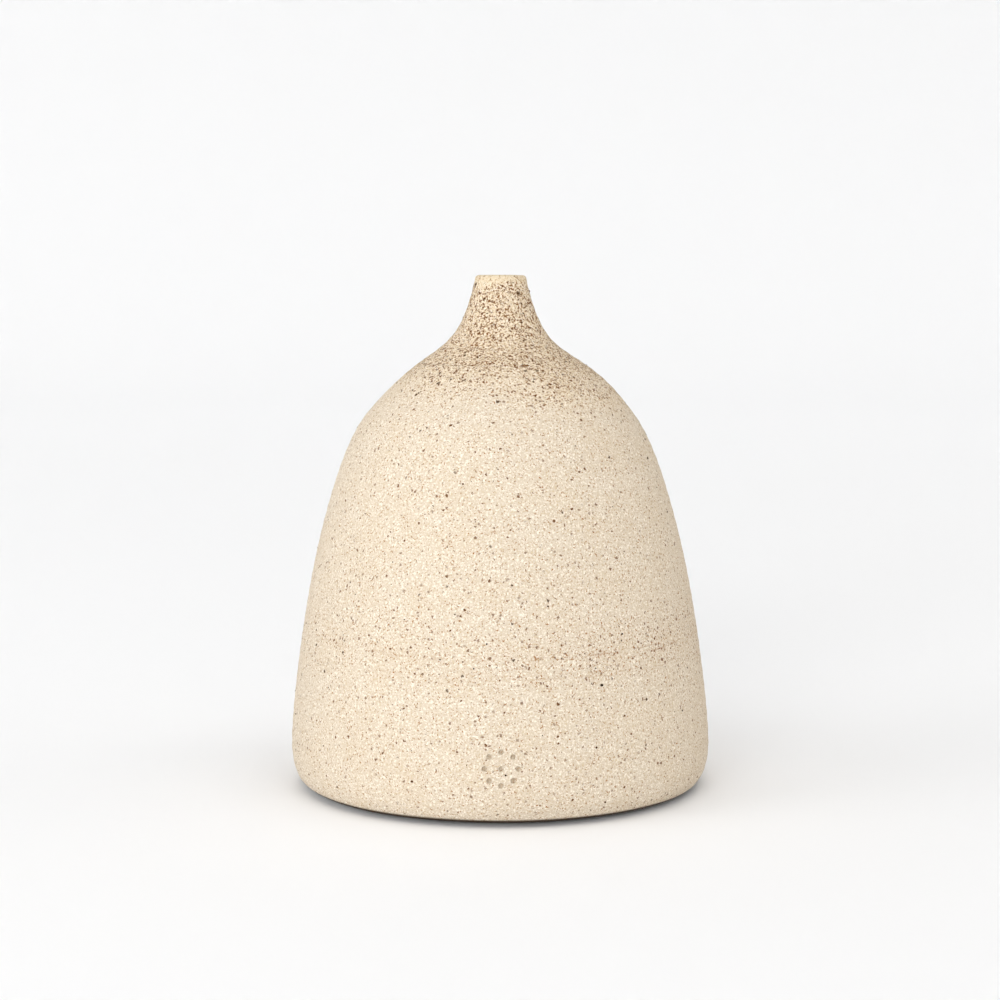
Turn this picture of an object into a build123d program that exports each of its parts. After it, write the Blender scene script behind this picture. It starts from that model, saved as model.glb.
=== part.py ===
from build123d import *

import os

# Stoneware bud vase: a small bell-shaped pot with a pinched-in neck.
#
# The pot is put together the way a potter does it. Two thrown sections, the lower body
# and the upper body, lap over each other at the belly, a separately thrown neck laps over
# the top of the dome, and each lap is filled with a ring of slip. A thin coat of glaze
# lines the inside so that the pot holds water.
#
# Frame: millimetres, +Z up, origin at the centre of the ring that the pot stands on.
# The potter's seal is on the front, towards -Y.

# --- Driving dimensions: millimetres and degrees, outline points as (radius, height) ------

height = 130.0  # foot to lip

# Outside
foot_edge = (47.8, 0.65)  # where the wall turns under, a little above the table
belly_radius = 53.5  # widest point
belly_height = 11.0
foot_handles = [(52.3, foot_edge[1]), (belly_radius, 6.2)]
wall_handles = [(belly_radius, 25.6), (45.9, 79.6)]
shoulder = (34.0, 94.8)
neck_handles = [(18.0, 115.5), (11.8, 105.8)]
lip_radius = 6.5
lip_round = 1.0  # both edges of the rim are this round

# Inside
floor_height = 6.5
corner_radius = 8.0  # between the floor and the wall
inner_radius = 48.6
inner_height = 16.0  # the hollow is widest here
inner_wall_handles = [(inner_radius, 28.0), (41.9, 76.8)]
inner_shoulder = (30.2, 91.8)
throat_handles = [(17.4, 108.2), (4.0, 108.5)]
bore_radius = 4.0
bore_foot = 119.0  # the straight bore starts here

# Underside
ring_radius = 44.5  # outer edge of the ring that touches the table
ring_width = 8.0
ring_slope = 0.6  # how far the ring's outer side leans out
recess_depth = 1.0
recess_slope = 1.2

# Lap joint between the two body sections
body_seam = 41.0  # its height on the outside
body_lap_radius = 47.6
body_tongue = 4.0  # the lower section stands this far up inside the upper one

# Lap joint between the dome and the neck
neck_seam = 108.0
neck_lap_radius = 15.0
neck_tongue = 2.0

slip_thickness = 0.5
glaze_thickness = 0.35
glaze_line = 127.8  # the lining stops just below the lip

# Potter's seal: round dots pressed in a ring about a centre dot
seal_height = 13.8
seal_angle = 3.9  # round the pot from the front
seal_ring = 4.0
seal_dots = 8
seal_dot_radius = 0.65
seal_depth = 0.6

beyond = 5.0  # how far the cutting outlines run past the pot

os.makedirs("parts", exist_ok=True)

# --- Outlines shared by the pieces --------------------------------------------------------


def draw_outside():
    """The pot from the middle of its underside, round the foot and up to the lip."""
    ring_inner = ring_radius - ring_width
    recess = Line((0, recess_depth), (ring_inner - recess_slope, recess_depth))
    step = Line(recess @ 1, (ring_inner, 0))
    ring = Line(step @ 1, (ring_radius, 0))
    ring_side = Line(ring @ 1, (ring_radius + ring_slope, foot_edge[1]))
    ledge = Line(ring_side @ 1, foot_edge)
    foot = Bezier(ledge @ 1, *foot_handles, (belly_radius, belly_height))
    wall = Bezier(foot @ 1, *wall_handles, shoulder)
    neck_side = Bezier(wall @ 1, *neck_handles, (lip_radius, height - lip_round))
    RadiusArc(neck_side @ 1, (lip_radius - lip_round, height), -lip_round)


def draw_inside(top, coat=0.0):
    """The hollow from the middle of its floor up to a height in the bore.

    A coat moves the whole line in from the clay by that thickness.
    """
    level = floor_height + coat
    radius = inner_radius - coat
    uphill = (Vector(*inner_shoulder) - Vector(*inner_wall_handles[1])).normalized()
    inwards = uphill.rotate(Axis.Z, 90) * coat
    floor_end = Vector(inner_radius - corner_radius, level)
    Line((0, level), floor_end)
    Bezier(
        floor_end,
        (inner_radius - corner_radius / 2, level),
        (radius, floor_height + corner_radius / 2),
        (radius, inner_height),
    )
    shoulder_end = Vector(*inner_shoulder) + inwards
    Bezier(
        (radius, inner_height),
        (radius, inner_wall_handles[0][1]),
        Vector(*inner_wall_handles[1]) + inwards,
        shoulder_end,
    )
    Bezier(
        shoulder_end,
        Vector(*throat_handles[0]) + inwards,
        (bore_radius - coat, throat_handles[1][1]),
        (bore_radius - coat, bore_foot),
    )
    Line((bore_radius - coat, bore_foot), (bore_radius - coat, top))


def lap_line(seam, radius, rise):
    """Stepped line of a lap joint, from outside the pot at its seam in to the axis."""
    outside = belly_radius + beyond
    return [(outside, seam), (radius, seam), (radius, seam + rise), (0, seam + rise)]


# Each lap has a lower line, where the slip meets the tongue, and an upper line, where the
# slip meets the section above. Outside the lap radius the two sections touch directly.
body_lap_below = lap_line(body_seam, body_lap_radius, body_tongue)
body_lap_above = lap_line(
    body_seam, body_lap_radius + slip_thickness, body_tongue + slip_thickness
)
neck_lap_below = lap_line(neck_seam, neck_lap_radius, neck_tongue)
neck_lap_above = lap_line(
    neck_seam, neck_lap_radius + slip_thickness, neck_tongue + slip_thickness
)
under_foot = [(0, -beyond), (belly_radius + beyond, -beyond)]
over_lip = [(belly_radius + beyond, height + beyond), (0, height + beyond)]

with BuildSketch() as clay_section:
    with BuildLine():
        draw_outside()
        Line((lip_radius - lip_round, height), (bore_radius + lip_round, height))
        RadiusArc(
            (bore_radius + lip_round, height), (bore_radius, height - lip_round), -lip_round
        )
        draw_inside(height - lip_round)
        Line((0, floor_height), (0, recess_depth))
    make_face()

# --- Lower body: thrown floor and flared wall, with the seal pressed into the front -------

seal_plane = Plane.XZ.rotated((0, 0, seal_angle)).offset(belly_radius - seal_depth)

with BuildPart() as lower_body:
    with BuildSketch(Plane.XZ):
        add(clay_section.sketch_local)
        Polygon(*under_foot, *body_lap_below, align=None, mode=Mode.INTERSECT)
    revolve(axis=Axis.Z)
    with BuildSketch(seal_plane):
        with Locations((0, seal_height)):
            Circle(seal_dot_radius)
            with PolarLocations(seal_ring, seal_dots):
                Circle(seal_dot_radius)
    extrude(amount=beyond, mode=Mode.SUBTRACT)
lower_body.part.label = "lower_body"
export_step(lower_body.part, "parts/lower_body.step")

# --- Body slip joint: slip that fills the lap at the belly --------------------------------

with BuildPart() as body_slip_joint:
    with BuildSketch(Plane.XZ):
        add(clay_section.sketch_local)
        Polygon(
            *reversed(body_lap_below[1:]),
            *body_lap_above[1:],
            align=None,
            mode=Mode.INTERSECT,
        )
    revolve(axis=Axis.Z)
body_slip_joint.part.label = "body_slip_joint"
export_step(body_slip_joint.part, "parts/body_slip_joint.step")

# --- Upper body: thrown dome, with a tongue round its top opening -------------------------

with BuildPart() as upper_body:
    with BuildSketch(Plane.XZ):
        add(clay_section.sketch_local)
        Polygon(
            *reversed(body_lap_above), *neck_lap_below, align=None, mode=Mode.INTERSECT
        )
    revolve(axis=Axis.Z)
upper_body.part.label = "upper_body"
export_step(upper_body.part, "parts/upper_body.step")

# --- Neck slip joint: slip that fills the lap at the neck ---------------------------------

with BuildPart() as neck_slip_joint:
    with BuildSketch(Plane.XZ):
        add(clay_section.sketch_local)
        Polygon(
            *reversed(neck_lap_below[1:]),
            *neck_lap_above[1:],
            align=None,
            mode=Mode.INTERSECT,
        )
    revolve(axis=Axis.Z)
neck_slip_joint.part.label = "neck_slip_joint"
export_step(neck_slip_joint.part, "parts/neck_slip_joint.step")

# --- Neck: thrown flare, straight bore and rounded lip ------------------------------------

with BuildPart() as neck:
    with BuildSketch(Plane.XZ):
        add(clay_section.sketch_local)
        Polygon(*reversed(neck_lap_above), *over_lip, align=None, mode=Mode.INTERSECT)
    revolve(axis=Axis.Z)
neck.part.label = "neck"
export_step(neck.part, "parts/neck.step")

# --- Glaze lining: one thin coat from the floor up to just below the lip ------------------

with BuildPart() as glaze_lining:
    with BuildSketch(Plane.XZ):
        with BuildLine():
            draw_inside(glaze_line)
            Line((bore_radius, glaze_line), (bore_radius - glaze_thickness, glaze_line))
            draw_inside(glaze_line, glaze_thickness)
            Line((0, floor_height + glaze_thickness), (0, floor_height))
        make_face()
    revolve(axis=Axis.Z)
glaze_lining.part.label = "glaze_lining"
export_step(glaze_lining.part, "parts/glaze_lining.step")
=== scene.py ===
# %% [markdown]
# # A stoneware bud vase
# This lesson dresses a small bell-shaped pot. The clay body is thrown in three sections that
# lap over each other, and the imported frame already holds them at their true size. We only
# load that frame here and keep its box, so that every later piece can be measured against it.

# %% Load the frame
import math

import bmesh
import bpy
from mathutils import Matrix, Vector
from mathutils.geometry import interpolate_bezier


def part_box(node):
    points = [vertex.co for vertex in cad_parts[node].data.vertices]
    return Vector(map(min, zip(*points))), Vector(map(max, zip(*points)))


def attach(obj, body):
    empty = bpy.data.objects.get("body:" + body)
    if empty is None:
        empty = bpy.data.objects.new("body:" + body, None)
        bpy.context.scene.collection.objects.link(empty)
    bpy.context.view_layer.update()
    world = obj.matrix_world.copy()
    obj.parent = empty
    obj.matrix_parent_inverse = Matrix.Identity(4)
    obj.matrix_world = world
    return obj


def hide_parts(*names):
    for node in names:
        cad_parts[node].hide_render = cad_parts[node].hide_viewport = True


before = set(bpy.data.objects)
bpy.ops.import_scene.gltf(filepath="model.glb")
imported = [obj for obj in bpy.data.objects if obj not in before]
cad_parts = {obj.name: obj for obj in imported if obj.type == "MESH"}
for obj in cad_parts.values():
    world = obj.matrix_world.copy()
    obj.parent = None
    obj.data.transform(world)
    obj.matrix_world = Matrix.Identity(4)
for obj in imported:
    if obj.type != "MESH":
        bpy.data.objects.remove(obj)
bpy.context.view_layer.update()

MM = 0.001

# %% [markdown]
# ## Where the sections meet
# Heights come from the frame, not from numbers typed in twice. The upper body's lowest edge is
# the seam at the belly, the neck's lowest edge is the seam at the top of the dome, and the
# highest point of all is the lip.

# %% Seams and sizes
body_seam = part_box("upper_body")[0].z
neck_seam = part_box("neck")[0].z
lip_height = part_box("neck")[1].z
belly_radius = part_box("lower_body")[1].x
print(f"seams at {body_seam / MM:.1f} and {neck_seam / MM:.1f} mm, lip at {lip_height / MM:.1f} mm")

# %% [markdown]
# ## Node trees as sums
# Materials and geometry trees are easier to read as formulas than as boxes. One small class
# wraps a socket and turns `1 - mask` into a Math node. One method, `add`, makes every other
# kind of node: its type, its settings, which are set first, and what goes into its sockets.

# %% A socket that can be used in sums


class Wire:
    """An output socket. Sums of wires and numbers become Math nodes."""

    def __init__(self, recipe, socket):
        self.recipe = recipe
        self.socket = socket

    def out(self, name):
        """Another output of the same node."""
        return Wire(self.recipe, self.socket.node.outputs[name])

    def sum(self, operation, *others):
        return self.recipe.maths(operation, self, *others)

    def __add__(self, other):
        return self.sum("ADD", other)

    def __sub__(self, other):
        return self.sum("SUBTRACT", other)

    def __rsub__(self, other):
        return self.recipe.maths("SUBTRACT", other, self)

    def __mul__(self, other):
        return self.sum("MULTIPLY", other)

    def __truediv__(self, other):
        return self.sum("DIVIDE", other)

    def __pow__(self, other):
        return self.sum("POWER", other)

    def __lt__(self, other):
        return self.sum("LESS_THAN", other)

    def __gt__(self, other):
        return self.sum("GREATER_THAN", other)

    __radd__ = __add__
    __rmul__ = __mul__


class Recipe:
    """A node tree, written one formula at a time."""

    def __init__(self, tree):
        self.tree = tree

    def add(self, kind, settings=None, sockets=None, out=0):
        node = self.tree.nodes.new(kind)
        for name, value in (settings or {}).items():
            setattr(node, name, value)
        for key, value in (sockets or {}).items():
            if isinstance(value, Wire):
                self.tree.links.new(value.socket, node.inputs[key])
            else:
                node.inputs[key].default_value = value
        return Wire(self, node.outputs[out]) if node.outputs else node

    def maths(self, operation, *values):
        return self.add("ShaderNodeMath", {"operation": operation}, dict(enumerate(values)))

    def vectors(self, operation, *values):
        return self.add("ShaderNodeVectorMath", {"operation": operation}, dict(enumerate(values)))

    def scaled(self, vector, by):
        return self.add(
            "ShaderNodeVectorMath", {"operation": "SCALE"}, {0: vector, "Scale": by}
        )

    def part(self, vector, axis):
        """One number of a vector: 0 is across, 1 is away and 2 is up."""
        return self.add("ShaderNodeSeparateXYZ", sockets={0: vector}, out=axis)

    def ramp(self, value, low, high, to_low=0.0, to_high=1.0):
        """A smooth step from one value to another while the input goes from low to high."""
        return self.add(
            "ShaderNodeMapRange",
            {"interpolation_type": "SMOOTHSTEP"},
            {0: value, 1: low, 2: high, 3: to_low, 4: to_high},
        )

    def noise(self, place, grain_size, detail=2.0, roughness=0.5, shift=0.0):
        """Cloudy noise whose patches are about grain_size metres across."""
        moved = self.vectors("ADD", place, (shift, shift * 0.7, -shift))
        return self.add(
            "ShaderNodeTexNoise",
            {"noise_dimensions": "3D"},
            {"Vector": moved, "Scale": 1 / grain_size, "Detail": detail, "Roughness": roughness},
        )


# %% [markdown]
# ## The outline of each section
# A thrown pot is a line turned round an axis. We read that line back from the frame: a copy of
# the node is cut along the plane through its axis, and the cut is walked from end to end. The
# copy is merged first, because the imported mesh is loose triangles.

# %% Cut a node's outline
MERGE = 1e-6


def cut_outline(node):
    """Points (radius, height) of a node's section, in order, from the axis or its lowest corner."""
    cut = bmesh.new()
    cut.from_mesh(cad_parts[node].data)
    bmesh.ops.remove_doubles(cut, verts=cut.verts, dist=MERGE)
    for normal, whole in (((0, 1, 0), True), ((1, 0, 0), False)):
        parts = cut.verts[:] + cut.edges[:] + cut.faces[:]
        bmesh.ops.bisect_plane(
            cut, geom=parts, dist=MERGE, plane_co=(0, 0, 0), plane_no=normal,
            clear_inner=True, clear_outer=whole,
        )
    bmesh.ops.remove_doubles(cut, verts=cut.verts, dist=MERGE)
    ends = [v for v in cut.verts if len(v.link_edges) == 1]
    here = min(ends or cut.verts, key=lambda v: (v.co.z, -v.co.x))
    first, came_by, line = here, None, [Vector((here.co.x, here.co.z))]
    while True:
        ways = [e for e in here.link_edges if e is not came_by]
        if came_by is None and len(ways) > 1:
            ways.sort(key=lambda e: -e.other_vert(here).co.x)
        if not ways:
            break
        came_by = ways[0]
        here = came_by.other_vert(here)
        line.append(Vector((here.co.x, here.co.z)))
        if here is first:
            break
    cut.free()
    return line


TURNED_NODES = ("lower_body", "upper_body", "neck", "glaze_lining")
sections = {name: cut_outline(name) for name in TURNED_NODES}
for name, line in sections.items():
    print(name, len(line), "outline points from", tuple(round(v / MM, 2) for v in line[0]),
          "to", tuple(round(v / MM, 2) for v in line[-1]))

# %% [markdown]
# ## Fine rows outside, coarse rows inside
# Only the outside of the pot is seen close up, so only that stretch of each outline gets rows a
# fraction of a millimetre apart. A Catmull-Rom curve through the cut points keeps the stretch
# smooth. The laps and the hidden hollow keep the few points that the cut gave them.

# %% Resample the outside stretch of an outline


def nearest(line, radius, height):
    spot = Vector((radius, height))
    return min(range(len(line)), key=lambda i: (line[i] - spot).length)


def smooth_stretch(line, spacing):
    """The same line with points `spacing` apart, along a Catmull-Rom curve through its points."""
    fine = []
    ends = [line[0] * 2 - line[1], *line, line[-1] * 2 - line[-2]]
    for before, start, end, after in zip(ends, ends[1:], ends[2:], ends[3:]):
        pieces = max(1, round((end - start).length / spacing))
        way_out = start + (end - before) / 6
        way_in = end - (after - start) / 6
        fine += interpolate_bezier(start, way_out, way_in, end, pieces + 1)[:-1]
    return fine + [line[-1]]


def outline_mesh(name, line, outside_from, outside_to, spacing):
    """A mesh of edges in the XZ plane: fine where the pot is seen, with the way out of the clay."""
    a, b = sorted((nearest(line, *outside_from), nearest(line, *outside_to)))
    outside = smooth_stretch(line[a:b + 1], spacing)
    points = line[:a] + outside + line[b + 1:]
    mesh = bpy.data.meshes.new(name + ".outline")
    edges = [(i, i + 1) for i in range(len(points) - 1)]
    mesh.from_pydata([(p.x, 0, p.y) for p in points], edges, [])
    mesh.attributes.new("outward", "FLOAT_VECTOR", "POINT")
    mesh.attributes.new("along", "FLOAT", "POINT")
    travelled = 0.0
    for i, point in enumerate(points):
        before = points[max(i - 1, 0)]
        travelled += (point - before).length
        mesh.attributes["along"].data[i].value = travelled
        if a <= i < a + len(outside):
            before, after = points[max(i - 1, a)], points[min(i + 1, a + len(outside) - 1)]
            way = (after - before).normalized()
            mesh.attributes["outward"].data[i].vector = (way.y, 0, -way.x)
    print(name, "outline:", len(points), "rows,", len(outside), "of them outside")
    return mesh


SAME_HEIGHT = 0.02 * MM


def radius_at(name, height):
    """Outer radius of a section's outline at a height that it has a corner or a point at."""
    return max(p.x for p in sections[name] if abs(p.y - height) < SAME_HEIGHT)


foot_ledge = min(p.y for p in sections["lower_body"] if p.x > 0.85 * belly_radius)
belly_seam_radius = radius_at("upper_body", body_seam)
neck_seam_radius = radius_at("neck", neck_seam)
bore_edge = min(sections["neck"], key=lambda p: (round(p.x, 5), -p.y))
LOWER_ROWS, UPPER_ROWS, NECK_ROWS = 0.5 * MM, 0.6 * MM, 0.3 * MM

outlines = {
    "lower_body": outline_mesh(
        "lower_body", sections["lower_body"],
        (radius_at("lower_body", foot_ledge), foot_ledge),
        (belly_seam_radius, body_seam), LOWER_ROWS,
    ),
    "upper_body": outline_mesh(
        "upper_body", sections["upper_body"],
        (belly_seam_radius, body_seam),
        (neck_seam_radius, neck_seam), UPPER_ROWS,
    ),
    "neck": outline_mesh(
        "neck", sections["neck"], (neck_seam_radius, neck_seam), tuple(bore_edge), NECK_ROWS
    ),
}

# %% [markdown]
# ## The wheel
# Each clay section is its outline turned round the axis, which is just what the potter's wheel
# does, so Geometry Nodes make it: a grid with one column for each step round and one row for
# each outline point is rolled up into the pot. The seam and the poles are merged. The hand
# shows in the relief: a slow wobble, finger rings that climb as a spiral, sandy grain, and the
# slight lean of a shoulder that was closed in by hand. All but the rings follow the point's own
# place, so two sections that meet at a seam are moved alike there and still fit. The rings are
# far shallower than the rest, and start afresh on each section.

# %% A tree with named inputs, and a way to run it
SHARP = math.radians(40)


def geometry_tree(name, inputs):
    """An empty geometry tree. Returns its recipe, a wire for each input, and the identifiers."""
    tree = bpy.data.node_groups.new(name, "GeometryNodeTree")
    tree.interface.new_socket("Geometry", in_out="OUTPUT", socket_type="NodeSocketGeometry")
    tree.interface.new_socket("Geometry", in_out="INPUT", socket_type="NodeSocketGeometry")
    names = {}
    for label, kind in inputs.items():
        socket = tree.interface.new_socket(label, in_out="INPUT", socket_type="NodeSocket" + kind)
        names[label] = socket.identifier
    recipe = Recipe(tree)
    entry = recipe.add("NodeGroupInput")
    wires = {label: entry.out(label) for label in ("Geometry", *inputs)}
    return recipe, wires, names


def finish_tree(recipe, geometry, material):
    """Realize Instances and Set Material, as the last nodes of every tree here."""
    real = recipe.add("GeometryNodeRealizeInstances", sockets={"Geometry": geometry})
    dressed = recipe.add("GeometryNodeSetMaterial", sockets={
        "Geometry": real, "Material": material,
    })
    leave = recipe.tree.nodes.new("NodeGroupOutput")
    recipe.tree.links.new(dressed.socket, leave.inputs["Geometry"])


def run_tree(piece, mesh, made_tree, **values):
    """Runs a tree on a mesh and returns a plain object with the result, at the origin."""
    recipe, _, names = made_tree
    source = bpy.data.objects.new(piece + ".source", mesh)
    bpy.context.scene.collection.objects.link(source)
    modifier = source.modifiers.new("tree", "NODES")
    modifier.node_group = recipe.tree
    for label, value in values.items():
        modifier[names[label.replace("_", " ")]] = value
    graph = bpy.context.evaluated_depsgraph_get()
    result = bpy.data.meshes.new_from_object(source.evaluated_get(graph))
    bpy.data.objects.remove(source)
    result.name = piece
    result.set_sharp_from_angle(angle=SHARP)
    made = bpy.data.objects.new(piece, result)
    bpy.context.scene.collection.objects.link(made)
    print(piece, len(result.vertices), "points,", len(result.polygons), "faces")
    return made


# %% [markdown]
# ## The potter's hand in the relief
# Fingers leave rings as they climb the turning wall, the wall is never quite round, and coarse
# sand drags under the hand. Each is a sum of noise and waves in metres, so the numbers can be
# read as real depths. The lean is a push along X that is strongest just under the neck.

# %% Relief of thrown clay
RING_SPACING = 3.6 * MM
SHOULDER_PUSH = 0.4 * MM
NECK_PUSH = 0.15 * MM


def relief(recipe, place, along, inputs):
    """Height of the hand-made relief at a place, in metres."""
    turn = recipe.maths("ARCTAN2", recipe.part(place, 1), recipe.part(place, 0))
    slow = recipe.noise(place, 45 * MM, detail=1) - 0.5
    patches = recipe.noise(place, 16 * MM, detail=1, shift=0.3)
    climb = along * (2 * math.pi / RING_SPACING) + turn + slow * 3
    rings = recipe.maths("SINE", climb) * patches
    sand = recipe.noise(place, 1.5 * MM, detail=3, roughness=0.65) - 0.5
    return slow * inputs["Wobble"] + rings * inputs["Finger rings"] + sand * inputs["Grain"]


def lean(recipe, place):
    """How far the shoulder and the neck were pushed sideways, along X, in metres."""
    height = recipe.part(place, 2)
    off_shoulder = (height - (neck_seam - 5 * MM)) / (6 * MM)
    shoulder_push = recipe.maths("EXPONENT", off_shoulder * off_shoulder * -1.0) * SHOULDER_PUSH
    neck_push = recipe.ramp(height, neck_seam + 4 * MM, neck_seam + 10 * MM, 0.0, NECK_PUSH)
    return recipe.add("ShaderNodeCombineXYZ", sockets={0: shoulder_push + neck_push})


# %% [markdown]
# ## Rolling up the grid
# A Mesh Grid numbers its points column by column, so a point's row is its number modulo the
# count of rows. Sample Index looks the row up on the outline, and a rotation about the axis
# carries it round. Merge by Distance then closes the seam and gathers each pole to one point.

# %% The wheel itself


def wheel_tree():
    made_tree = geometry_tree("thrown on the wheel", {
        "Steps round": "Int", "Wobble": "Float", "Finger rings": "Float", "Grain": "Float",
        "Clay": "Material",
    })
    recipe, inputs, _ = made_tree
    outline = inputs["Geometry"]
    size = recipe.add(
        "GeometryNodeAttributeDomainSize", {"component": "MESH"}, {"Geometry": outline}
    )
    grid = recipe.add("GeometryNodeMeshGrid", sockets={
        "Size X": 1.0, "Size Y": 1.0, "Vertices X": inputs["Steps round"] + 1, "Vertices Y": size,
    })
    index = recipe.add("GeometryNodeInputIndex")
    row = recipe.maths("MODULO", index, size)
    column = recipe.maths("FLOOR", (index + 0.5) / size)
    turn = recipe.add("ShaderNodeCombineXYZ", sockets={
        2: column * (2 * math.pi) / inputs["Steps round"],
    })

    def from_outline(kind, value):
        return recipe.add(
            "GeometryNodeSampleIndex", {"data_type": kind},
            {"Geometry": outline, "Value": value, "Index": row},
        )

    def turned(vector):
        return recipe.add(
            "ShaderNodeVectorRotate", {"rotation_type": "EULER_XYZ"},
            {"Vector": vector, "Rotation": turn},
        )

    def named(kind, label):
        return recipe.add("GeometryNodeInputNamedAttribute", {"data_type": kind}, {"Name": label})

    def keep(geometry, kind, label, value):
        return recipe.add(
            "GeometryNodeStoreNamedAttribute", {"data_type": kind, "domain": "POINT"},
            {"Geometry": geometry, "Name": label, "Value": value},
        )

    position = recipe.add("GeometryNodeInputPosition")
    rolled = recipe.add("GeometryNodeSetPosition", sockets={
        "Geometry": grid, "Position": turned(from_outline("FLOAT_VECTOR", position)),
    })
    way_out = turned(from_outline("FLOAT_VECTOR", named("FLOAT_VECTOR", "outward")))
    rolled = keep(rolled, "FLOAT_VECTOR", "outward", way_out)
    rolled = keep(rolled, "FLOAT", "along", from_outline("FLOAT", named("FLOAT", "along")))
    closed = recipe.add("GeometryNodeMergeByDistance", sockets={
        "Geometry": rolled, "Distance": MERGE,
    })
    outward = named("FLOAT_VECTOR", "outward")
    seen = recipe.vectors("LENGTH", outward).out("Value")
    height = relief(recipe, position, named("FLOAT", "along"), inputs)
    push = recipe.scaled(outward, height)
    side = recipe.scaled(lean(recipe, position), seen)
    thrown = recipe.add("GeometryNodeSetPosition", sockets={
        "Geometry": closed, "Offset": recipe.vectors("ADD", push, side),
    })
    smooth = recipe.add("GeometryNodeSetShadeSmooth", sockets={"Geometry": thrown})
    finish_tree(recipe, smooth, inputs["Clay"])
    return made_tree


wheel = wheel_tree()
stoneware = bpy.data.materials.new("stoneware")
STEPS_ROUND = 600
WOBBLE = 0.5 * MM
FINGER_RINGS = 0.07 * MM
SAND_GRAIN = 0.12 * MM
thrown = {
    name: run_tree(
        "thrown_" + name, mesh, wheel, Steps_round=STEPS_ROUND,
        Wobble=WOBBLE, Finger_rings=FINGER_RINGS, Grain=SAND_GRAIN, Clay=stoneware,
    )
    for name, mesh in outlines.items()
}

# %% [markdown]
# ## The potter's seal
# A maker presses a small stamp into the soft clay near the foot. The stamp here is a plain ring
# of round dots. The wheel's grid is too coarse for dots a millimetre across, so the faces under
# the stamp are cut up finely first, and then the points inside each dot are pushed in. The
# stamp's place is read from the frame, where the same dots are cut into the lower body.

# %% Find the seal in the frame
SEAL_DOTS = 8
SEAL_RING = 4.0 * MM
DOT_RADIUS = 0.68 * MM
SEAL_DEPTH = 0.55 * MM


def seal_place():
    """Turn round the pot and height of the seal's middle, from the floors of its dots."""
    floors = [
        v.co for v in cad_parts["lower_body"].data.vertices
        if 5 * MM < v.co.z < 0.6 * body_seam and v.co.y < -0.8 * belly_radius
        and math.hypot(v.co.x, v.co.y) < belly_radius - SEAL_DEPTH / 2
        and math.hypot(v.co.x, v.co.y) > belly_radius - 2 * SEAL_DEPTH
        and abs(v.co.x) < 0.2 * belly_radius
    ]
    middle = [(min(f[i] for f in floors) + max(f[i] for f in floors)) / 2 for i in range(3)]
    return math.atan2(middle[1], middle[0]), middle[2]


seal_turn, seal_height = seal_place()
print(f"seal at {math.degrees(seal_turn):.1f} degrees round, {seal_height / MM:.1f} mm up")

# %% [markdown]
# ## Pressing the stamp
# A stamp pushes clay down inside each dot and raises a hair of a rim round it. The points know
# which way is out, because the wheel stored it, so the stamp moves them along that. How far inside
# a dot each point lies is stored too, and the clay's material paints shade into the dots with it.

# %% Press the stamp into the lower body
DOT_WALL = 0.25 * MM
RIM_HEIGHT = 0.06 * MM
RIM_WIDTH = 0.14 * MM
RIM_GAP = 0.12 * MM
FINER_CUTS = 4


def on_stamp(place):
    """A place in the stamp's own flat frame: across and up from its middle."""
    turn = math.atan2(place.y, place.x) - seal_turn
    return Vector((turn * math.hypot(place.x, place.y), place.z - seal_height))


def press_seal(piece):
    mesh = bmesh.new()
    mesh.from_mesh(piece.data)
    outward = mesh.verts.layers.float_vector["outward"]
    pressed = mesh.verts.layers.float.new("pressed")
    reach = SEAL_RING + 2.5 * DOT_RADIUS
    window = [
        f for f in mesh.faces
        if f.calc_center_median().y < 0 and on_stamp(f.calc_center_median()).length < reach
        and f.verts[0][outward].length > 0
    ]
    edges = list({e for f in window for e in f.edges})
    bmesh.ops.subdivide_edges(mesh, edges=edges, cuts=FINER_CUTS, use_grid_fill=True)
    dots = [Vector((0, 0))]
    for i in range(SEAL_DOTS):
        turn = 2 * math.pi * i / SEAL_DOTS
        dots.append(Vector((math.cos(turn), math.sin(turn))) * SEAL_RING)
    for v in mesh.verts:
        if v.co.y > 0 or v[outward].length == 0:
            continue
        spot = on_stamp(v.co)
        if spot.length > reach:
            continue
        gap = min((spot - dot).length for dot in dots) - DOT_RADIUS
        inside = min(max(-gap / DOT_WALL, 0), 1)
        rim = math.exp(-(((gap - RIM_GAP) / RIM_WIDTH) ** 2)) * RIM_HEIGHT
        depth = inside * inside * (3 - 2 * inside) * SEAL_DEPTH
        v.co += v[outward].normalized() * (rim - depth)
        v[pressed] = inside
    mesh.to_mesh(piece.data)
    mesh.free()
    print("seal pressed into", len(window), "faces; the piece has", len(piece.data.polygons))


press_seal(thrown["lower_body"])

# %% [markdown]
# ## Where iron gathers
# Iron in the clay burns to brown specks. They lie thin over most of the pot, thicker round the
# belly seam where the two sections were pressed together, and very thick in a dark wash that
# runs round the root of the neck and up it. The lip was wiped with a wet finger and is paler.
# These three masks are written once, as sums of the height and of cloudy noise, because the
# clay's material and the tree that scatters the specks both need them.

# %% Masks shared by the clay and the specks


def wash_mask(recipe, place):
    """1 in the dark wash round the neck, 0 below it. It hangs a little lower on the right."""
    clouds = recipe.noise(place, 13 * MM, detail=3, shift=0.2)
    edge = recipe.part(place, 2) + (clouds - 0.5) * (16 * MM) + recipe.part(place, 0) * 0.06
    return recipe.ramp(edge, neck_seam - 12.5 * MM, neck_seam + 2 * MM)


def lip_mask(recipe, place):
    """1 on the wiped lip."""
    return recipe.ramp(recipe.part(place, 2), lip_height - 2.8 * MM, lip_height - 1.2 * MM)


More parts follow.
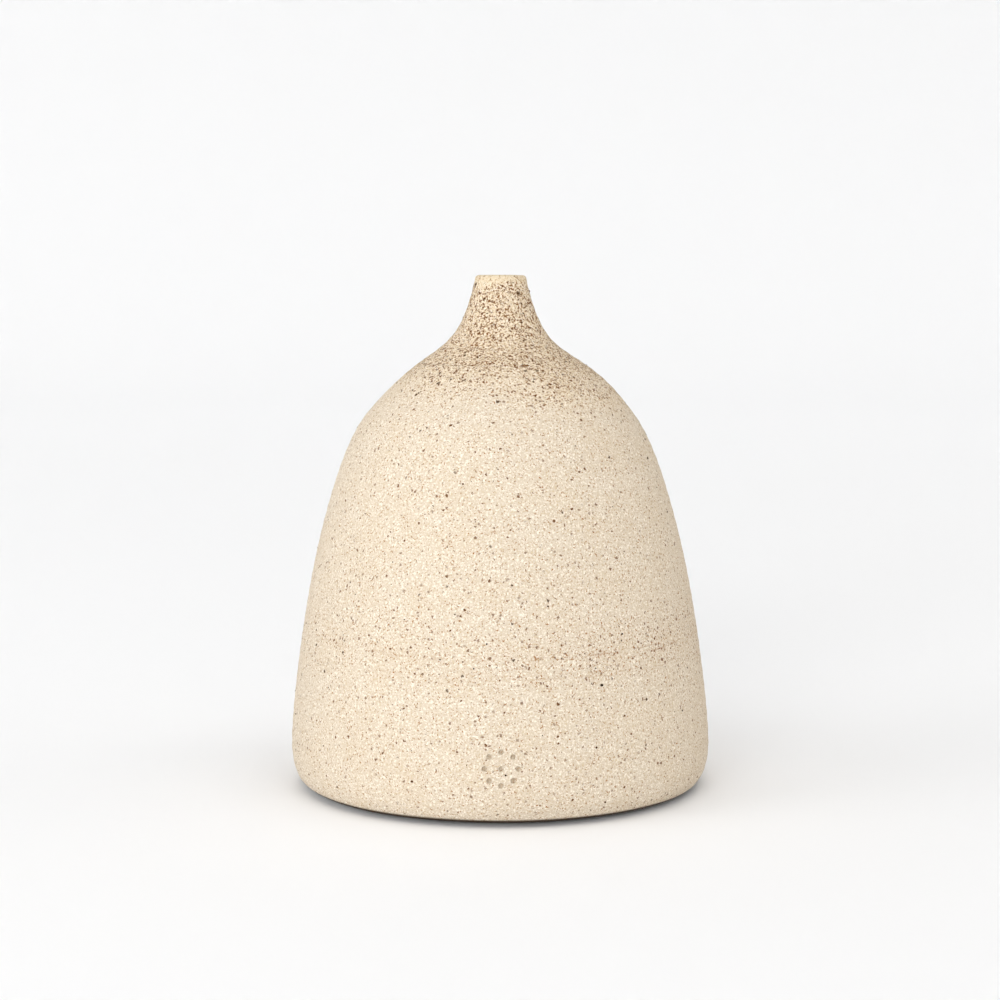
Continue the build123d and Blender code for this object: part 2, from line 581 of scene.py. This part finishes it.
def belt_mask(recipe, place):
    """1 at the belly seam, 0 from a finger's width above and below it. Stronger on the right."""
    height = recipe.part(place, 2)
    rise = recipe.ramp(height, body_seam - 12 * MM, body_seam - 1 * MM)
    fall = recipe.ramp(height, body_seam + 11 * MM, body_seam + 3 * MM)
    to_right = recipe.ramp(
        recipe.part(place, 0), -0.5 * belly_radius, 0.6 * belly_radius, 0.5, 1.0
    )
    return rise * fall * to_right


# %% [markdown]
# ## Stoneware clay
# Fired stoneware without a glaze is a pale warm buff, matt and a little sandy, and iron peppers
# it. The dust is noise cut off at a level, so that the level sets how much clay it covers. The
# larger flecks are Voronoi patterns: every cell holds one fleck, whose radius, colour and presence
# come from the cell's own random colour. The masks thicken the pepper where the iron gathers.

# %% Flecks of one size
FLECK_EDGE_GRAIN = 0.5 * MM
FLECK_SHAKE = 0.8 * MM


def flecks(clay, place, spacing, small, large, share, seed):
    """Mask of roundish flecks, and a random number that each fleck keeps to itself."""
    rough_edge = clay.add(
        "ShaderNodeTexNoise", {"noise_dimensions": "3D"},
        {"Vector": place, "Scale": 1 / FLECK_EDGE_GRAIN, "Detail": 1.0}, out="Color",
    )
    centred = clay.vectors("SUBTRACT", rough_edge, (0.5, 0.5, 0.5))
    shaken = clay.vectors("ADD", place, clay.scaled(centred, FLECK_SHAKE))
    moved = clay.vectors("ADD", shaken, (seed, seed * 0.37, 0.0))
    cells = clay.add(
        "ShaderNodeTexVoronoi", {"voronoi_dimensions": "3D", "feature": "F1"},
        {"Vector": moved, "Scale": 1 / spacing},
    )
    chance, size, tone = (
        clay.add("ShaderNodeSeparateColor", sockets={0: cells.out("Color")}, out=i)
        for i in range(3)
    )
    radius = small + size * size * (large - small)
    reach = cells * spacing / radius
    return clay.ramp(reach, 1.0, 0.6) * (chance < share), tone


# %% [markdown]
# ## The sandy ground
# Every layer of the clay blends over the one before, as dirt does. The first layers are the
# ground itself: a buff that the wash tints cream, pale and warm grains of sand, slow clouds,
# and the honey colour of the wiped lip.

# %% Ground colours
BUFF = (0.592, 0.510, 0.402, 1)
PALE = (0.80, 0.735, 0.63, 1)
WARM = (0.55, 0.42, 0.26, 1)
CREAM = (0.70, 0.575, 0.40, 1)
HONEY = (0.66, 0.54, 0.35, 1)


def blend(clay, share, first, second):
    """Mixes two colours: 0 gives the first and 1 the second."""
    return clay.add(
        "ShaderNodeMix", {"data_type": "RGBA", "clamp_factor": True},
        {0: share, 6: first, 7: second}, out=2,
    )


def sandy_ground(clay, place, wash, wiped):
    sand = clay.noise(place, 0.45 * MM, detail=2, roughness=0.7)
    mottle = clay.noise(place, 8 * MM, detail=3, shift=0.1)
    body = blend(clay, wash * 0.7, BUFF, CREAM)
    body = blend(clay, clay.ramp(sand, 0.50, 0.66), body, PALE)
    body = blend(clay, clay.ramp(sand, 0.48, 0.30) * 0.7, body, WARM)
    body = blend(clay, clay.ramp(mottle, 0.35, 0.75) * 0.14, body, WARM)
    return blend(clay, wiped * 0.5, body, HONEY)


# %% [markdown]
# ## Iron in the clay
# Dust comes next, and its level falls where there is more iron, so it covers more there. Then
# come flecks in three sizes, the larger ones rarer and darker. Most clots, which are the largest,
# sit under the lip.

# %% Dust and flecks
UMBER = (0.13, 0.046, 0.009, 1)
RUST = (0.29, 0.125, 0.030, 1)
NEAR_BLACK = (0.062, 0.025, 0.007, 1)


def iron_dust(clay, place, body, wash, belt):
    cloud = clay.noise(place, 0.46 * MM, detail=2.5, roughness=0.7, shift=0.4)
    level = 0.594 - wash * 0.078 - belt * 0.022
    dust = clay.ramp(cloud - level, 0.0, 0.04)
    depth = clay.noise(place, 1.3 * MM, detail=1, shift=0.7)
    stain = blend(clay, wash * 0.65, RUST, UMBER)
    return blend(clay, dust * clay.ramp(depth, 0.34, 0.56, 0.5, 1.0), body, stain)


def iron_flecks(clay, place, body, wash, belt, under_lip):
    """The colour with the flecks on it, and the mask of the flecks that leave pits."""
    fine, fine_tone = flecks(
        clay, place, 0.85 * MM, 0.20 * MM, 0.46 * MM, wash * 0.70 + belt * 0.17 + 0.22, 0.0
    )
    body = blend(clay, fine * (fine_tone * 0.6 + 0.4 + wash * 0.3), body, UMBER)
    mid, mid_tone = flecks(
        clay, place, 1.7 * MM, 0.22 * MM, 0.50 * MM,
        wash * 0.55 + under_lip * 0.4 + belt * 0.18 + 0.08, 0.31,
    )
    body = blend(clay, mid * (mid_tone * 0.3 + 0.7), body, NEAR_BLACK)
    clots, clot_tone = flecks(
        clay, place, 3.0 * MM, 0.40 * MM, 0.95 * MM, under_lip * 0.40 + wash * 0.10, 0.63
    )
    body = blend(clay, clots * (clot_tone * 0.2 + 0.8), body, NEAR_BLACK)
    return body, clay.maths("MAXIMUM", fine, mid)


# %% [markdown]
# ## Scratches round the belly
# When the two body sections were joined, a tool was run round the seam and dragged grit along.
# Noise that is stretched far round the pot and hardly at all up it gives short level scratches.
# They are kept to two lines: one at the seam and one a little below it.

# %% Drag scratches
DRAG_LENGTH = 6 * MM
DRAG_WIDTH = 0.45 * MM
SEAM_LINE = body_seam - 0.6 * MM
LOWER_LINE = body_seam - 5 * MM


def drag_scratches(clay, place, height, belt):
    stretch = clay.vectors("MULTIPLY", place, (1 / DRAG_LENGTH, 1 / DRAG_LENGTH, 1 / DRAG_WIDTH))
    drag = clay.add("ShaderNodeTexNoise", {"noise_dimensions": "3D"}, {
        "Vector": stretch, "Scale": 1.0, "Detail": 0.5,
    })
    off_seam = clay.maths("ABSOLUTE", height - SEAM_LINE)
    off_lower = clay.maths("ABSOLUTE", height - LOWER_LINE)
    lines = clay.maths(
        "MAXIMUM", clay.ramp(off_seam, 1.4 * MM, 0.3 * MM),
        clay.ramp(off_lower, 1.2 * MM, 0.3 * MM),
    )
    return clay.ramp(drag, 0.56, 0.66) * belt * lines


# %% [markdown]
# ## The clay, layer on layer
# The layers are now stacked: ground, dust, flecks and scratches, then painted shade in the seal's
# dots and a painted contact shadow on the foot's lowest edge. Only the finest depth is bump: the
# sandy grain, the pits of the flecks and the scratches.

# %% The clay material
# Grey brown painted into the seal's dots as shade.
SEAL_DOT_SHADE = (0.30, 0.22, 0.14, 1)
# Near-black of the painted contact shadow along the foot's lowest edge.
FOOT_CONTACT_SHADE = (0.045, 0.028, 0.018, 1)
BUMP_DEPTH = 0.12 * MM


def clay_recipe(material):
    material.use_nodes = True
    material.node_tree.nodes.clear()
    clay = Recipe(material.node_tree)
    place = clay.add("ShaderNodeTexCoord", out="Object")
    height = clay.part(place, 2)
    wiped = lip_mask(clay, place)
    wash = wash_mask(clay, place) * (1 - wiped * 0.75)
    belt = belt_mask(clay, place)
    under_lip = clay.ramp(height, lip_height - 9 * MM, lip_height - 6 * MM) * (1 - wiped)

    body = sandy_ground(clay, place, wash, wiped)
    body = iron_dust(clay, place, body, wash, belt)
    body, pits = iron_flecks(clay, place, body, wash, belt, under_lip)
    scratches = drag_scratches(clay, place, height, belt)
    body = blend(clay, scratches * 0.3, body, RUST)

    # Painted shade: the pressed dots are darkened to a grey brown, standing for the shade inside
    # them.
    pressed = clay.add("ShaderNodeAttribute", {"attribute_name": "pressed"}, out="Fac")
    body = blend(clay, pressed * 0.45, body, SEAL_DOT_SHADE)

    # Painted shade: a near-black band on the foot's lowest edge stands for the contact shadow where
    # the foot meets the floor.
    foot_contact_shade = clay.ramp(height, 2.2 * MM, 1.5 * MM)
    body = blend(clay, foot_contact_shade * 0.97, body, FOOT_CONTACT_SHADE)

    grain = clay.noise(place, 0.6 * MM, detail=3, roughness=0.7)
    relief_height = grain * (1 - wiped * 0.7) - pits * 0.4 - scratches * 0.5
    bump = clay.add("ShaderNodeBump", sockets={
        "Strength": 0.7, "Distance": BUMP_DEPTH, "Height": relief_height,
    })
    shader = clay.add("ShaderNodeBsdfPrincipled", sockets={
        "Base Color": body,
        "Roughness": 0.9 - pits * 0.2,
        "IOR": 1.45,
        "Specular IOR Level": 0.15,
        "Normal": bump,
    })
    clay.add("ShaderNodeOutputMaterial", sockets={"Surface": shader})


clay_recipe(stoneware)
print("stoneware:", len(stoneware.node_tree.nodes), "nodes")

# %% [markdown]
# ## Iron specks that stand in the clay
# The largest grains of iron are not paint. They melt out of the clay as little dark beads that
# stand slightly proud of the wall and can be felt with a fingertip. Geometry Nodes scatter them
# over the outside of each section with a fixed seed: one low lump of twenty faces, turned to
# the wall, sunk a little into it and scaled at random.

# %% A tree that scatters specks


def speck_tree():
    made_tree = geometry_tree("iron specks", {
        "Per square metre": "Float", "Smallest": "Float", "Largest": "Float", "Seed": "Int",
        "Iron": "Material",
    })
    recipe, inputs, _ = made_tree
    place = recipe.add("GeometryNodeInputPosition")
    outward = recipe.add(
        "GeometryNodeInputNamedAttribute", {"data_type": "FLOAT_VECTOR"}, {"Name": "outward"}
    )
    seen = recipe.vectors("LENGTH", outward).out("Value") > 0.5
    gathered = wash_mask(recipe, place) * (1 - lip_mask(recipe, place)) * 3.5
    gathered = gathered + belt_mask(recipe, place) * 1.6 + 0.5
    clumps = recipe.ramp(recipe.noise(place, 7 * MM, detail=2, shift=0.9), 0.4, 0.7, 0.2, 2.2)
    scatter = recipe.add(
        "GeometryNodeDistributePointsOnFaces", {"distribute_method": "RANDOM"}, {
            "Mesh": inputs["Geometry"], "Density": gathered * clumps * inputs["Per square metre"],
            "Selection": seen, "Seed": inputs["Seed"],
        },
    )
    lump = recipe.add("GeometryNodeMeshIcoSphere", sockets={"Radius": 1.0, "Subdivisions": 1})

    def random(low, high, label):
        return recipe.add("FunctionNodeRandomValue", {"data_type": "FLOAT"}, {
            "Min": low, "Max": high, "ID": recipe.add("GeometryNodeInputIndex"), "Seed": label,
        }, out=1)

    chance = random(0.0, 1.0, 1)
    size = inputs["Smallest"] + chance ** 3 * (inputs["Largest"] - inputs["Smallest"])
    shape = recipe.add("ShaderNodeCombineXYZ", sockets={
        0: size * random(0.7, 1.3, 2), 1: size * random(0.7, 1.3, 3), 2: size * 0.6,
    })
    specks = recipe.add("GeometryNodeInstanceOnPoints", sockets={
        "Points": scatter, "Instance": lump, "Rotation": scatter.out("Rotation"), "Scale": shape,
    })
    sunk = recipe.add("GeometryNodeTranslateInstances", sockets={
        "Instances": specks,
        "Translation": recipe.add("ShaderNodeCombineXYZ", sockets={2: inputs["Smallest"] * -0.6}),
        "Local Space": True,
    })
    finish_tree(recipe, sunk, inputs["Iron"])
    return made_tree


# %% [markdown]
# ## The iron's own colour
# Melted iron is almost black, and rusty where it lies thin. Slow noise mixes the two, so that
# specks far apart differ. Then the tree runs over the three sections, each with its own seed.

# %% Colour and scatter the iron
COAL = (0.028, 0.013, 0.005, 1)
RUSTY_IRON = (0.11, 0.045, 0.014, 1)
SPECKS_PER_SQUARE_METRE = 11000.0
SMALLEST_SPECK = 0.16 * MM
LARGEST_SPECK = 0.40 * MM
FIRST_SEED = 3

iron = bpy.data.materials.new("iron_speck")
iron.use_nodes = True
speck_mix = Recipe(iron.node_tree)
iron_shader = iron.node_tree.nodes["Principled BSDF"]
warmth = speck_mix.noise(speck_mix.add("ShaderNodeTexCoord", out="Object"), 2.5 * MM, detail=1)
iron_colour = blend(speck_mix, speck_mix.ramp(warmth, 0.4, 0.65), COAL, RUSTY_IRON)
iron.node_tree.links.new(iron_colour.socket, iron_shader.inputs["Base Color"])
iron_shader.inputs["Roughness"].default_value = 0.85
iron_shader.inputs["Specular IOR Level"].default_value = 0.2

scatterer = speck_tree()
specks = {
    name: run_tree(
        "iron_specks_" + name, piece.data, scatterer,
        Per_square_metre=SPECKS_PER_SQUARE_METRE, Smallest=SMALLEST_SPECK,
        Largest=LARGEST_SPECK, Seed=number + FIRST_SEED, Iron=iron,
    )
    for number, (name, piece) in enumerate(thrown.items())
}

# %% [markdown]
# ## The glaze inside
# A vase for water is glazed inside: the potter pours thin liquid glaze in, swills it round and
# tips it out, which leaves a glassy skin a third of a millimetre thick that ends just inside the
# lip. It is turned on the same wheel from its own outline, with no relief, because it flowed.

# %% Turn the lining
THIN_GLAZE = (0.52, 0.46, 0.36, 1)
POOLED_GLAZE = (0.62, 0.57, 0.48, 1)
LINING_STEPS_ROUND = 180

liner_glaze = bpy.data.materials.new("liner_glaze")
liner_glaze.use_nodes = True
liner_glaze.node_tree.nodes.clear()
glaze = Recipe(liner_glaze.node_tree)
pooled = glaze.noise(glaze.add("ShaderNodeTexCoord", out="Object"), 6 * MM, detail=2)
gloss = glaze.add("ShaderNodeBsdfPrincipled", sockets={
    "Base Color": blend(glaze, pooled, THIN_GLAZE, POOLED_GLAZE),
    "Roughness": 0.12 + pooled * 0.1,
    "Coat Weight": 0.5,
})
glaze.add("ShaderNodeOutputMaterial", sockets={"Surface": gloss})

lining_line = sections["glaze_lining"]
lining_mesh = bpy.data.meshes.new("glaze_lining.outline")
lining_mesh.from_pydata(
    [(p.x, 0, p.y) for p in lining_line], [(i, i + 1) for i in range(len(lining_line) - 1)], []
)
lining_mesh.attributes.new("outward", "FLOAT_VECTOR", "POINT")
lining_mesh.attributes.new("along", "FLOAT", "POINT")
lining = run_tree(
    "poured_glaze_lining", lining_mesh, wheel, Steps_round=LINING_STEPS_ROUND,
    Wobble=0.0, Finger_rings=0.0, Grain=0.0, Clay=liner_glaze,
)

# %% [markdown]
# ## The slip in the joints
# The two laps are bedded in slip, which is the same clay stirred up with water. It is hidden
# between the sections, so the frame's own two rings are kept as they are and only get a finish:
# the clay's buff, greyer and finer, without flecks.

# %% Finish the slip rings
SLIP_BUFF = (0.50, 0.42, 0.32, 1)

slip = bpy.data.materials.new("joining_slip")
slip.use_nodes = True
slip_shader = slip.node_tree.nodes["Principled BSDF"]
slip_shader.inputs["Base Color"].default_value = SLIP_BUFF
slip_shader.inputs["Roughness"].default_value = 0.95
for node in ("body_slip_joint", "neck_slip_joint"):
    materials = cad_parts[node].data.materials
    materials.clear()
    materials.append(slip)
print("slip on two rings")

# %% [markdown]
# ## What each piece stands for
# Nothing on the pot moves, so every piece rides the root. Each thrown section stands in for the
# section of the same name in the frame, the poured lining for the frame's lining, and the specks
# are extra dressing.

# %% Ride and replace
for name, piece in thrown.items():
    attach(piece, "root")
    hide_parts(name)
for piece in specks.values():
    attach(piece, "root")
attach(lining, "root")
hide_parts("glaze_lining")

# %% [markdown]
# ## A seamless sweep
# Small pots are shown on a roll of pale paper that lies flat under them and curves up behind, so
# that no corner shows. A bowl of paper does the same from every side: a flat disc, a quarter
# circle up, and a wall.

# %% Sweep
FLOOR_RADIUS = 1.6
BEND = 0.9
WALL_TOP = 2.6
BEND_STEPS = 12
SWEEP_STEPS = 96
PAPER = (0.882, 0.884, 0.888, 1)

sweep_outline = [(0.0, 0.0), (FLOOR_RADIUS, 0.0)]
for i in range(1, BEND_STEPS + 1):
    turn = math.pi / 2 * i / BEND_STEPS
    sweep_outline.append((FLOOR_RADIUS + BEND * math.sin(turn), BEND - BEND * math.cos(turn)))
sweep_outline.append((FLOOR_RADIUS + BEND, WALL_TOP))
corners = []
for r, z in sweep_outline:
    for i in range(SWEEP_STEPS):
        turn = 2 * math.pi * i / SWEEP_STEPS
        corners.append((r * math.cos(turn), r * math.sin(turn), z))
quads = []
for k in range(len(sweep_outline) - 1):
    for i in range(SWEEP_STEPS):
        here, there = k * SWEEP_STEPS, (k + 1) * SWEEP_STEPS
        beside = (i + 1) % SWEEP_STEPS
        quads.append((here + i, here + beside, there + beside, there + i))
sweep_mesh = bpy.data.meshes.new("sweep")
sweep_mesh.from_pydata(corners, [], quads)
sweep_mesh.shade_smooth()
sweep = bpy.data.objects.new("sweep", sweep_mesh)
bpy.context.scene.collection.objects.link(sweep)
paper = bpy.data.materials.new("sweep_paper")
paper.use_nodes = True
paper_shader = paper.node_tree.nodes["Principled BSDF"]
paper_shader.inputs["Base Color"].default_value = PAPER
paper_shader.inputs["Roughness"].default_value = 0.9
sweep_mesh.materials.append(paper)
print("sweep:", len(quads), "faces")

# %% [markdown]
# ## Soft light from all round
# Matt clay shows its grain best in even light. Three broad parallel lights stand in for big
# diffused windows at the left, the right and overhead, and two low soft boxes open up the
# shadow under the belly. Both boxes stand left of the middle, so the pot turns away into shade
# on its right. A third box, faint and warm, keeps that shade from going grey. A weak white world
# fills what is left.

# %% Lights
WINDOW_SOFTNESS = math.radians(55)
POT_MIDDLE = Vector((0, 0, 0.06))
WARM_WHITE = (1.0, 0.90, 0.74)
AIR_LIGHT = 0.20


def put_light(name, light, place):
    lamp = bpy.data.objects.new(name, light)
    lamp.location = place
    lamp.rotation_euler = (POT_MIDDLE - Vector(place)).to_track_quat("-Z", "Y").to_euler()
    bpy.context.scene.collection.objects.link(lamp)


def soft_box(name, place, size, power, colour=(1, 1, 1)):
    light = bpy.data.lights.new(name, "AREA")
    light.shape = "DISK"
    light.size = size
    light.energy = power
    light.color = colour
    put_light(name, light, place)


def soft_window(name, turn, rise, strength):
    """Broad parallel light from `turn` degrees right of the front and `rise` degrees up."""
    light = bpy.data.lights.new(name, "SUN")
    light.angle = WINDOW_SOFTNESS
    light.energy = strength
    turn, rise = math.radians(turn), math.radians(rise)
    flat = math.cos(rise)
    way = Vector((math.sin(turn) * flat, -math.cos(turn) * flat, math.sin(rise)))
    put_light(name, light, POT_MIDDLE + way)


soft_window("left", -60, 30, 0.95)
soft_window("right", 50, 40, 0.96)
soft_window("overhead", 0, 88, 0.85)
soft_box("low_front", (-0.5, -1.9, 0.35), 1.2, 28)
soft_box("low_left", (-1.5, -0.6, 0.6), 1.2, 7)
soft_box("warm_right", (1.6, 0.0, 0.25), 1.0, 4.4, WARM_WHITE)
world = bpy.data.worlds.new("studio")
world.use_nodes = True
air = world.node_tree.nodes["Background"]
air.inputs["Color"].default_value = (1, 1, 1, 1)
air.inputs["Strength"].default_value = AIR_LIGHT
bpy.context.scene.world = world
bpy.context.scene.view_settings.view_transform = "Standard"

# %% [markdown]
# ## The camera
# A long lens from a little above the lip keeps the pot's sides from splaying. The camera looks
# down by six degrees, which shows the lip as a thin line and the foot as a shallow curve. The
# Standard view keeps the pale paper as pale as it is.

# %% Camera
CAMERA_DISTANCE = 0.5878
CAMERA_HEIGHT = 0.1351
LOOK_DOWN = math.radians(6.05)
FOCAL_LENGTH = 83.3
FILM_WIDTH = 36

lens = bpy.data.cameras.new("camera")
lens.sensor_width = FILM_WIDTH
lens.lens = FOCAL_LENGTH
camera = bpy.data.objects.new("camera", lens)
camera.location = (0, -CAMERA_DISTANCE, CAMERA_HEIGHT)
camera.rotation_euler = (math.pi / 2 - LOOK_DOWN, 0, 0)
bpy.context.scene.collection.objects.link(camera)
bpy.context.scene.camera = camera
print("camera", round(camera.location.length, 3), "m from the foot's middle")
